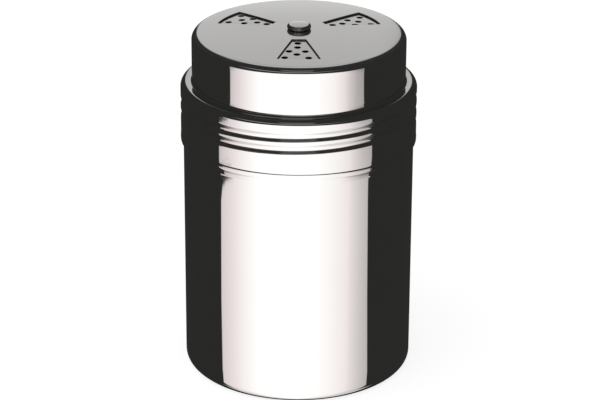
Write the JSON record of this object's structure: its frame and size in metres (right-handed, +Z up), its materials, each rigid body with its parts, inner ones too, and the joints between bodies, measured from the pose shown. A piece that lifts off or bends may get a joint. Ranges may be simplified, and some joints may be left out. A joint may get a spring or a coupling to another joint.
{
  "type": "spice shaker",
  "caption": "Polished steel spice shaker: round can, screw-on stepped lid with wedge windows, and a knob-turned sieve disc under the lid.",
  "frame": {"origin": "middle of the face that the can stands on", "axes": "+Z up along the can's axis; the first lid window faces -Y, the picture's front"},
  "size_m": [0.0716, 0.0716, 0.1097],
  "materials": {
    "can_steel": "mirror-polished stainless steel",
    "lid_steel": "mirror-polished stainless steel, crown finely satin",
    "disc_steel": "bright rolled stainless sheet",
    "knob_steel": "polished stainless steel",
    "spring_steel": "tumbled spring steel",
    "washer_steel": "stamped stainless washer"
  },
  "bodies": {
    "can": {"body_can": "can_steel"},
    "washer": {"spring_washer": "spring_steel"},
    "lid": {"lid_shell": "lid_steel"},
    "sifter": {"sieve_disc": "disc_steel", "turning_knob": "knob_steel", "retaining_washer": "washer_steel"}
  },
  "joints": [
    {"name": "lid_rise", "type": "slide", "parent": "can", "child": "washer", "axis": [0, 0, 1], "range_m": [0, 0.0191]},
    {"name": "lid_turn", "type": "hinge", "parent": "washer", "child": "lid", "pos_m": [0, 0, 0.09], "axis": [0, 0, 1], "range_deg": [0, 1800]},
    {"name": "disc_turn", "type": "hinge", "parent": "lid", "child": "sifter", "pos_m": [0, 0, 0.1077], "axis": [0, 0, 1], "continuous": true}
  ],
  "couplings": [
    {"joint": "lid_rise", "follows": "lid_turn", "m_per_rad": 0.00060479}
  ]
}
